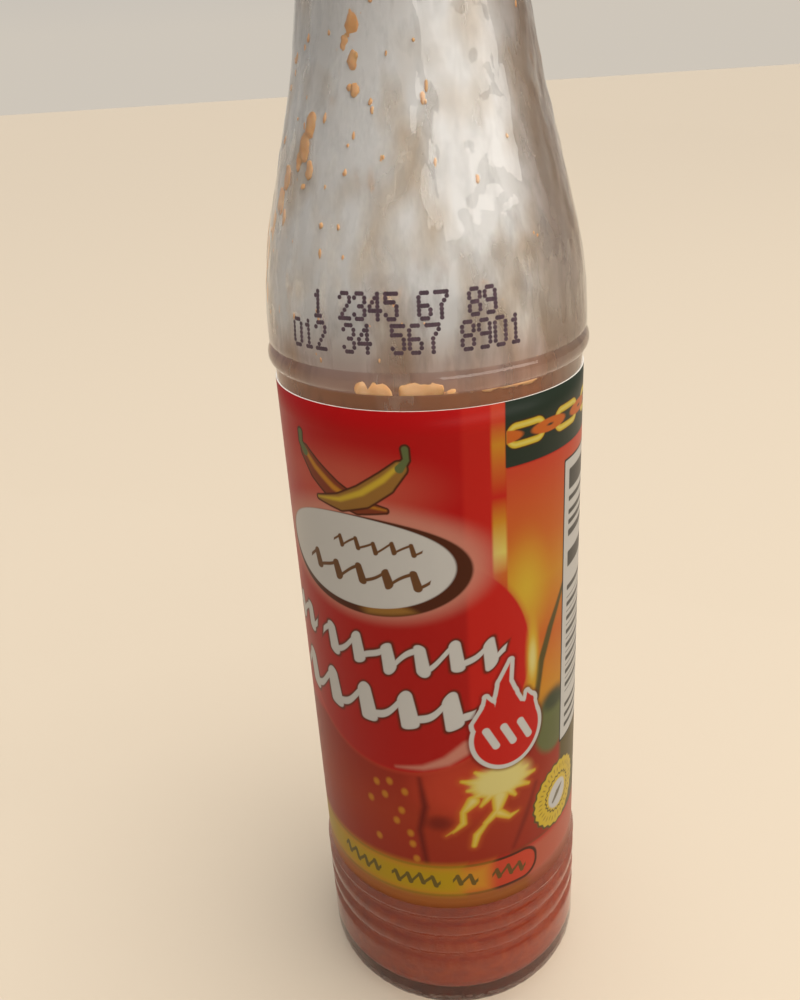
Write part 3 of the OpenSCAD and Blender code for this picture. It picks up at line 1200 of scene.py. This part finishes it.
# %% Print the white panel and its bars
PANEL_LEFT, PANEL_RIGHT, PANEL_LOW, PANEL_HIGH = 17.4, 41.0, 41.5, 81.0
PANEL_EDGE = 0.25
lay(BLACK_INK, box((PANEL_LEFT - PANEL_EDGE, PANEL_LOW - PANEL_EDGE),
                   (PANEL_RIGHT + PANEL_EDGE, PANEL_HIGH + PANEL_EDGE)), 0.2)
lay(PAPER_WHITE, box((PANEL_LEFT, PANEL_LOW), (PANEL_RIGHT, PANEL_HIGH)), 0.15)
bars = [
    box((18.5, 77.1), (35.0, 79.7)),
    box((18.5, 71.0), (40.0, 71.9)),
    box((18.5, 66.9), (31.0, 69.0)),
    box((18.5, 63.6), (40.0, 64.3)),
]
thin = [75.9, 74.2, 72.9, 61.6, 59.6, 57.6, 55.6, 53.6, 51.6, 49.6, 46.4, 44.8, 43.2]
for k, height in enumerate(thin):
    bars.append(box((18.5, height - 0.32), (26.5 + (k * 5) % 8, height + 0.32)))
lay(BLACK_INK, joined(*bars), 0.2, 0.92)
ruled = sums("SUBTRACT", sums("PINGPONG", sums("SUBTRACT", UP, 50.6), 1.0), 0.10)
ruled = common(ruled, box((18.5, 48.4), (40.0, 62.8)))
lay(BLACK_INK, ruled, 0.15, 0.6)

# %% Print the back of the label
lay(GOLD, box((-50.5, 40.5), (-29.5, 81.5)), 0.2)
lay(DEEP_RED, box((-50.1, 40.9), (-29.9, 81.1)), 0.2)
ruled_back = sums("SUBTRACT", sums("PINGPONG", sums("SUBTRACT", UP, 46.0), 1.1), 0.55)
ruled_back = common(ruled_back, box((-48.5, 60), (-31.5, 78.5)))
lay(PAPER_WHITE, ruled_back, 0.2, 0.9)
lay(PAPER_WHITE, box((-48.0, 43.0), (-32.0, 56.0)), 0.2)
stripes = sums("SINE", sums("MULTIPLY", ACROSS, 9.0))
stripes = sums("ADD", stripes, sums("SINE", sums("MULTIPLY", ACROSS, 5.3)))
stripes = common(sums("MULTIPLY", stripes, 0.3), box((-46.5, 44.2), (-33.5, 54.8)))
lay(BLACK_INK, stripes, 0.12)

# %% Print the bands along the foot
foot_strip = vertical([
    (20.0, (0.50, 0.12, 0.02)), (21.4, (0.62, 0.20, 0.04)), (22.6, (0.45, 0.10, 0.02)),
])
lay(foot_strip, sums("SUBTRACT", UP, 22.6), 0.5)
BAND_RED, BAND_YELLOW = (0.66, 0.16, 0.09), (0.62, 0.39, 0.005)
lay(BAND_RED, common(sums("SUBTRACT", UP, 27.6), sums("SUBTRACT", 11.0, ACROSS)), 1.6, 0.9)
lay(BROWN, box((-60, 22.5), (12.4, 27.95), 2.4), 0.3)
band_box = box((-60, 22.95), (12.0, 27.5), 2.1)
lay(ORANGE_RED, band_box, 0.2)
lay(GOLD_ORANGE, common(band_box, sums("SUBTRACT", ACROSS, 5.0)), 3.0)
lay(BAND_YELLOW, common(band_box, sums("SUBTRACT", ACROSS, 1.0)), 3.0)
for left, count in ((-16.8, 4), (-8.4, 4), (0.0, 2), (5.3, 3)):
    lay(OLIVE, scribble(25.25, left, count, 1.5, 1.7, 0.20, 0.33, 0.0), 0.15, 0.9)

# %% [markdown]
# ## Paper under the ink
# Printed label paper has a slight sheen rather than a shine, and never lies perfectly
# flat on glass. The inner face and the edges of the strip are bare white paper, in a
# material of their own that Solidify gives to what it adds.

# %% Finish of the printed paper
INK_DEPTH = 0.52
links.new(vectors("SCALE", colour_now, scale=INK_DEPTH), paper_shader.inputs["Base Color"])
set_inputs(paper_shader, Roughness=0.36, Specular_IOR_Level=0.12)
add_bump(sheet_tree, paper_shader, noise_node(sheet_tree, 260, 2.0, (1, 1, 0.4)), 0.03 * MM)
label.data.materials.append(printed_paper)

bare_paper, tree, shader = new_material("bare_paper")
set_inputs(shader, Base_Color=(0.72, 0.69, 0.64, 1), Roughness=0.8)
add_bump(tree, shader, noise_node(tree, 2500), 0.02 * MM)
label.data.materials.append(bare_paper)

take(label)
skin = label.modifiers.new("paper", "SOLIDIFY")
skin.thickness = PAPER * MM
skin.offset = -1
skin.material_offset = 1
skin.material_offset_rim = 1
bpy.ops.object.modifier_apply(modifier=skin.name)
settle(label)
hand_over(label, "label")
print("label:", len(label.data.polygons), "faces,", len(nodes), "nodes in its ink")

# %% [markdown]
# ## The screw cap
# A moulded cap has grip ribs round its skirt, a rounded top edge and a shallow ring on
# top. Its outline is turned like that of the glass, in four steps for every rib. Half of
# the faces in the skirt's middle band are extruded outwards, two for each rib, and a bevel
# rounds what is left sharp.

# %% Cap
CAP_R, CAP_BORE, CAP_ROUND = 13.2, 11.9, 1.4
RIBS = 60
cap_h0, cap_h1 = cap_low.z / MM, cap_high.z / MM
RIB_OUT = cap_high.x / MM - CAP_R
RIB_HOLD_BACK = 0.02


def cap_outline():
    top = cap_h1
    points = [(CAP_BORE, cap_h0 + 11.5), (CAP_BORE, cap_h0 + 0.4), (CAP_BORE + 0.3, cap_h0)]
    points += [(CAP_R - 0.25, cap_h0), (CAP_R, cap_h0 + 0.25), (CAP_R, cap_h0 + 0.9)]
    points += line((CAP_R, cap_h0 + 0.9), (CAP_R, top - CAP_ROUND - 0.9), 3)
    points += [(CAP_R, top - CAP_ROUND - 0.9)]
    points += arc((CAP_R - CAP_ROUND, top - CAP_ROUND), CAP_ROUND, 0, 90, 8)
    points += [(CAP_R - CAP_ROUND - 1.2, top), (CAP_R - CAP_ROUND - 1.5, top - 0.3)]
    points += [(0, top - 0.3)]
    return points


cap = draw_outline("cap", cap_outline())
spin_shape(cap, 4 * RIBS)
take(cap)
bpy.ops.object.mode_set(mode="EDIT")
bpy.ops.mesh.select_mode(type="FACE")
bpy.ops.mesh.select_all(action="DESELECT")
bpy.ops.object.mode_set(mode="OBJECT")
rib_faces = 0
for face in cap.data.polygons:
    x, y, z = (value / MM for value in face.center)
    around = math.degrees(math.atan2(y, x)) % (360 / RIBS)
    on_skirt = math.hypot(x, y) > CAP_R - 0.05 and cap_h0 + 0.8 < z < cap_h1 - CAP_ROUND - 0.8
    face.select = on_skirt and around < 180 / RIBS
    rib_faces += face.select
bpy.ops.object.mode_set(mode="EDIT")
rib_move = {"value": (RIB_OUT - RIB_HOLD_BACK) * MM}
bpy.ops.mesh.extrude_region_shrink_fatten(TRANSFORM_OT_shrink_fatten=rib_move)
bpy.ops.object.mode_set(mode="OBJECT")
rounding = cap.modifiers.new("rounding", "BEVEL")
rounding.width = 0.09 * MM
rounding.segments = 2
rounding.limit_method = "ANGLE"
rounding.angle_limit = math.radians(40)
bpy.ops.object.modifier_apply(modifier=rounding.name)
bpy.ops.object.shade_smooth_by_angle(angle=math.radians(40))

moulded_red, tree, shader = new_material("moulded_red")
set_inputs(shader, Roughness=0.38, Specular_IOR_Level=0.45)
tint = ramp(tree, noise_node(tree, 90, 2.0),
            [(0.35, (0.50, 0.018, 0.012)), (0.65, (0.56, 0.024, 0.016))])
tree.links.new(tint, shader.inputs["Base Color"])
add_bump(tree, shader, noise_node(tree, 2600), 0.015 * MM)
cap.data.materials.append(moulded_red)
settle(cap)
hand_over(cap, "cap")
print("cap:", rib_faces, "faces drawn out into", RIBS, "ribs")
